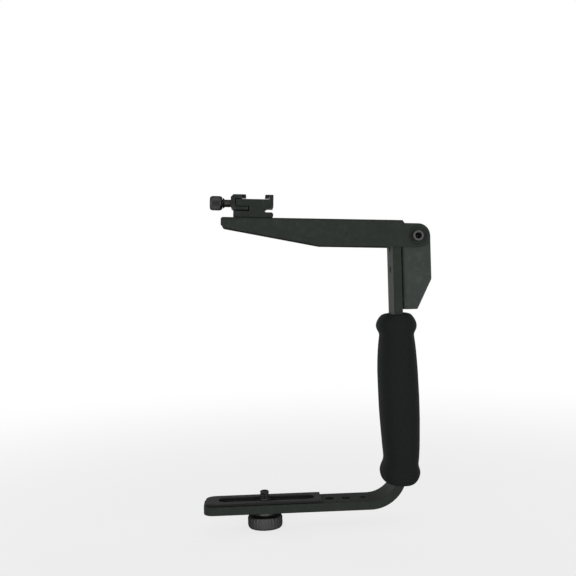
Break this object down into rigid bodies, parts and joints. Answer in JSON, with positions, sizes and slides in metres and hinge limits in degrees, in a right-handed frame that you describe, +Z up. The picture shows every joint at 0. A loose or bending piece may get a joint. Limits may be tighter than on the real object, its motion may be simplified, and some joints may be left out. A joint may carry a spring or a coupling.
{
  "type": "camera flash bracket",
  "caption": "L-shaped bracket for a camera with a foam hand grip, a flip-over arm and a clamping flash shoe with a thumbscrew.",
  "frame": {"origin": "tip of the camera screw, on the lens axis, under the middle of the flash shoe", "axes": "+Z up, +X from the lens towards the hand grip, -Y the side that the lens faces; the lens axis and the width's middle are in the plane Y = 0"},
  "size_m": [0.1603, 0.0406, 0.2303],
  "materials": {
    "black_paint": "satin black powder coat with a fine grain",
    "charcoal_paint": "satin charcoal powder coat with a fine grain",
    "black_alloy": "black anodised extrusion",
    "black_foam": "matte closed-cell foam rubber",
    "black_rubber": "matte rubber sheet",
    "dark_steel": "black-oxide steel with bare edges",
    "nylon": "natural nylon"
  },
  "bodies": {
    "frame": {"frame_bar": "black_paint", "grip_sleeve": "black_foam", "camera_pad": "black_rubber", "pivot_bracket": "charcoal_paint", "bracket_screw_upper": "dark_steel", "bracket_screw_lower": "dark_steel", "bracket_lock_washer_upper": "dark_steel", "bracket_lock_washer_lower": "dark_steel", "pivot_bolt": "dark_steel", "pivot_spacer": "dark_steel", "friction_washer_front": "nylon", "friction_washer_rear": "nylon", "pivot_spring_washer": "dark_steel", "pivot_nut": "dark_steel", "pivot_nut_insert": "nylon"},
    "arm": {"flip_arm": "black_paint", "shoe_block": "black_alloy", "shoe_screw_front": "dark_steel", "shoe_screw_rear": "dark_steel", "shoe_screw_washer_front": "dark_steel", "shoe_screw_washer_rear": "dark_steel"},
    "jaw": {"clamp_jaw": "black_alloy"},
    "thumbscrew": {"thumb_knob": "dark_steel", "thumb_stud": "dark_steel", "jaw_clip": "dark_steel"},
    "camera_slider": {"camera_screw_washer": "nylon"},
    "camera_screw": {"camera_knob": "dark_steel", "camera_stud": "dark_steel", "camera_screw_clip": "dark_steel"}
  },
  "joints": [
    {"name": "arm_flip", "type": "hinge", "parent": "frame", "child": "arm", "pos_m": [0.1092, 0, 0.1734], "axis": [0, 1, 0], "range_deg": [0, 180]},
    {"name": "jaw_slide", "type": "slide", "parent": "arm", "child": "jaw", "axis": [0.999, 0, -0.0445], "range_m": [-0.0025, 0.00025]},
    {"name": "thumb_turn", "type": "hinge", "parent": "jaw", "child": "thumbscrew", "pos_m": [-0.00011, 0, 0.19889], "axis": [0.999, 0, -0.0445], "range_deg": [-1800, 180]},
    {"name": "camera_slide", "type": "slide", "parent": "frame", "child": "camera_slider", "axis": [1, 0, 0], "range_m": [-0.0265, 0.0285]},
    {"name": "camera_screw_turn", "type": "hinge", "parent": "camera_slider", "child": "camera_screw", "pos_m": [0, 0, 0], "axis": [0, 0, 1], "continuous": true}
  ],
  "couplings": [
    {"joint": "thumb_turn", "follows": "jaw_slide", "rad_per_m": 12566}
  ]
}
